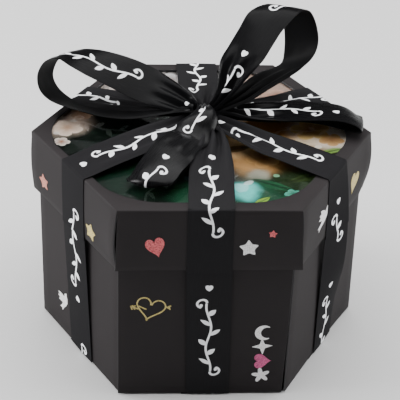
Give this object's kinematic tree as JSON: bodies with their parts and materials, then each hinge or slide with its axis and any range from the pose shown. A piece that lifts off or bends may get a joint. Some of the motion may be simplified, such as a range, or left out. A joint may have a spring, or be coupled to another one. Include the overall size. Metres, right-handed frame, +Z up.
{
  "type": "hexagonal explosion gift box",
  "caption": "Hexagonal black card gift box with a windowed lift-off lid, satin ribbon and bow; lifting the lid lets its tiers of walls fall open round a small inner box.",
  "frame": {"origin": "on the supporting surface, under the middle of the box", "axes": "+Z up; the front wall faces -Y; corners of the hexagon on +X and -X"},
  "size_m": [0.18, 0.1574, 0.1787],
  "materials": {
    "black_card": "matte, fine grain",
    "satin_ribbon": "satin weave",
    "photo_mat": "semi-gloss print paper",
    "window_film": "clear glossy film",
    "picture_print": "printed card",
    "rose_card": "matte",
    "cushion_velvet": "short pile velvet"
  },
  "bodies": {
    "base": {"outer_base": "black_card", "middle_base": "black_card", "inner_base": "black_card", "gift_tray": "black_card", "gift_cushion": "cushion_velvet", "under_ribbon": "satin_ribbon"},
    "lid": {"lid_card": "black_card", "window_film": "window_film", "picture_card": "picture_print", "lid_collar": "black_card", "bow_knot": "satin_ribbon", "bow_loop_left": "satin_ribbon", "bow_loop_tall": "satin_ribbon", "bow_loop_right": "satin_ribbon", "bow_loop_front": "satin_ribbon", "lid_strap_back_right": "satin_ribbon", "lid_strap_back": "satin_ribbon", "lid_strap_back_left": "satin_ribbon", "lid_strap_front_left": "satin_ribbon", "lid_strap_front": "satin_ribbon", "lid_strap_front_right": "satin_ribbon"},
    "outer_back_right": {"outer_wall_back_right": "black_card", "outer_photo_back_right": "photo_mat", "wall_strap_back_right": "satin_ribbon"},
    "outer_back": {"outer_wall_back": "black_card", "outer_photo_back": "photo_mat", "wall_strap_back": "satin_ribbon"},
    "outer_back_left": {"outer_wall_back_left": "black_card", "outer_photo_back_left": "photo_mat", "wall_strap_back_left": "satin_ribbon"},
    "outer_front_left": {"outer_wall_front_left": "black_card", "outer_photo_front_left": "photo_mat", "wall_strap_front_left": "satin_ribbon"},
    "outer_front": {"outer_wall_front": "black_card", "outer_photo_front": "photo_mat", "wall_strap_front": "satin_ribbon"},
    "outer_front_right": {"outer_wall_front_right": "black_card", "outer_photo_front_right": "photo_mat", "wall_strap_front_right": "satin_ribbon"},
    "middle_back_right": {"middle_wall_back_right": "black_card", "middle_photo_back_right": "photo_mat"},
    "middle_back": {"middle_wall_back": "black_card", "middle_photo_back": "photo_mat"},
    "middle_back_left": {"middle_wall_back_left": "black_card", "middle_photo_back_left": "photo_mat"},
    "middle_front_left": {"middle_wall_front_left": "black_card", "middle_photo_front_left": "photo_mat"},
    "middle_front": {"middle_wall_front": "black_card", "middle_photo_front": "photo_mat"},
    "middle_front_right": {"middle_wall_front_right": "black_card", "middle_photo_front_right": "photo_mat"},
    "inner_back_right": {"inner_wall_back_right": "black_card"},
    "inner_back": {"inner_wall_back": "black_card"},
    "inner_back_left": {"inner_wall_back_left": "black_card"},
    "inner_front_left": {"inner_wall_front_left": "black_card"},
    "inner_front": {"inner_wall_front": "black_card"},
    "inner_front_right": {"inner_wall_front_right": "black_card"},
    "gift_lid": {"gift_lid": "rose_card"}
  },
  "joints": [
    {"name": "lid_lift", "type": "slide", "parent": "base", "child": "lid", "axis": [0, 0, 1], "range_m": [0, 0.3]},
    {"name": "outer_fold_back_right", "type": "hinge", "parent": "base", "child": "outer_back_right", "pos_m": [0.06525, 0.03767, 0.0008], "axis": [-0.5, 0.866, 0], "range_deg": [0, 87.1]},
    {"name": "outer_fold_back", "type": "hinge", "parent": "base", "child": "outer_back", "pos_m": [0, 0.07534, 0.0008], "axis": [-1, 0, 0], "range_deg": [0, 87.1]},
    {"name": "outer_fold_back_left", "type": "hinge", "parent": "base", "child": "outer_back_left", "pos_m": [-0.06525, 0.03767, 0.0008], "axis": [-0.5, -0.866, 0], "range_deg": [0, 87.1]},
    {"name": "outer_fold_front_left", "type": "hinge", "parent": "base", "child": "outer_front_left", "pos_m": [-0.06525, -0.03767, 0.0008], "axis": [0.5, -0.866, 0], "range_deg": [0, 87.1]},
    {"name": "outer_fold_front", "type": "hinge", "parent": "base", "child": "outer_front", "pos_m": [0, -0.07534, 0.0008], "axis": [1, 0, 0], "range_deg": [0, 87.1]},
    {"name": "outer_fold_front_right", "type": "hinge", "parent": "base", "child": "outer_front_right", "pos_m": [0.06525, -0.03767, 0.0008], "axis": [0.5, 0.866, 0], "range_deg": [0, 87.1]},
    {"name": "middle_fold_back_right", "type": "hinge", "parent": "base", "child": "middle_back_right", "pos_m": [0.05875, 0.03392, 0.0024], "axis": [-0.5, 0.866, 0], "range_deg": [0, 87.1]},
    {"name": "middle_fold_back", "type": "hinge", "parent": "base", "child": "middle_back", "pos_m": [0, 0.06784, 0.0024], "axis": [-1, 0, 0], "range_deg": [0, 87.1]},
    {"name": "middle_fold_back_left", "type": "hinge", "parent": "base", "child": "middle_back_left", "pos_m": [-0.05875, 0.03392, 0.0024], "axis": [-0.5, -0.866, 0], "range_deg": [0, 87.1]},
    {"name": "middle_fold_front_left", "type": "hinge", "parent": "base", "child": "middle_front_left", "pos_m": [-0.05875, -0.03392, 0.0024], "axis": [0.5, -0.866, 0], "range_deg": [0, 87.1]},
    {"name": "middle_fold_front", "type": "hinge", "parent": "base", "child": "middle_front", "pos_m": [0, -0.06784, 0.0024], "axis": [1, 0, 0], "range_deg": [0, 87.1]},
    {"name": "middle_fold_front_right", "type": "hinge", "parent": "base", "child": "middle_front_right", "pos_m": [0.05875, -0.03392, 0.0024], "axis": [0.5, 0.866, 0], "range_deg": [0, 87.1]},
    {"name": "inner_fold_back_right", "type": "hinge", "parent": "base", "child": "inner_back_right", "pos_m": [0.05226, 0.03017, 0.004], "axis": [-0.5, 0.866, 0], "range_deg": [0, 87.1]},
    {"name": "inner_fold_back", "type": "hinge", "parent": "base", "child": "inner_back", "pos_m": [0, 0.06034, 0.004], "axis": [-1, 0, 0], "range_deg": [0, 87.1]},
    {"name": "inner_fold_back_left", "type": "hinge", "parent": "base", "child": "inner_back_left", "pos_m": [-0.05226, 0.03017, 0.004], "axis": [-0.5, -0.866, 0], "range_deg": [0, 87.1]},
    {"name": "inner_fold_front_left", "type": "hinge", "parent": "base", "child": "inner_front_left", "pos_m": [-0.05226, -0.03017, 0.004], "axis": [0.5, -0.866, 0], "range_deg": [0, 87.1]},
    {"name": "inner_fold_front", "type": "hinge", "parent": "base", "child": "inner_front", "pos_m": [0, -0.06034, 0.004], "axis": [1, 0, 0], "range_deg": [0, 87.1]},
    {"name": "inner_fold_front_right", "type": "hinge", "parent": "base", "child": "inner_front_right", "pos_m": [0.05226, -0.03017, 0.004], "axis": [0.5, 0.866, 0], "range_deg": [0, 87.1]},
    {"name": "gift_lid_lift", "type": "slide", "parent": "base", "child": "gift_lid", "axis": [0, 0, 1], "range_m": [0, 0.045]}
  ],
  "couplings": [
    {"joint": "outer_fold_back_right", "follows": "lid_lift", "rad_per_m": 5.0615},
    {"joint": "outer_fold_back", "follows": "lid_lift", "rad_per_m": 5.0615},
    {"joint": "outer_fold_back_left", "follows": "lid_lift", "rad_per_m": 5.0615},
    {"joint": "outer_fold_front_left", "follows": "lid_lift", "rad_per_m": 5.0615},
    {"joint": "outer_fold_front", "follows": "lid_lift", "rad_per_m": 5.0615},
    {"joint": "outer_fold_front_right", "follows": "lid_lift", "rad_per_m": 5.0615},
    {"joint": "middle_fold_back_right", "follows": "lid_lift", "rad_per_m": 5.0615},
    {"joint": "middle_fold_back", "follows": "lid_lift", "rad_per_m": 5.0615},
    {"joint": "middle_fold_back_left", "follows": "lid_lift", "rad_per_m": 5.0615},
    {"joint": "middle_fold_front_left", "follows": "lid_lift", "rad_per_m": 5.0615},
    {"joint": "middle_fold_front", "follows": "lid_lift", "rad_per_m": 5.0615},
    {"joint": "middle_fold_front_right", "follows": "lid_lift", "rad_per_m": 5.0615},
    {"joint": "inner_fold_back_right", "follows": "lid_lift", "rad_per_m": 5.0615},
    {"joint": "inner_fold_back", "follows": "lid_lift", "rad_per_m": 5.0615},
    {"joint": "inner_fold_back_left", "follows": "lid_lift", "rad_per_m": 5.0615},
    {"joint": "inner_fold_front_left", "follows": "lid_lift", "rad_per_m": 5.0615},
    {"joint": "inner_fold_front", "follows": "lid_lift", "rad_per_m": 5.0615},
    {"joint": "inner_fold_front_right", "follows": "lid_lift", "rad_per_m": 5.0615}
  ]
}
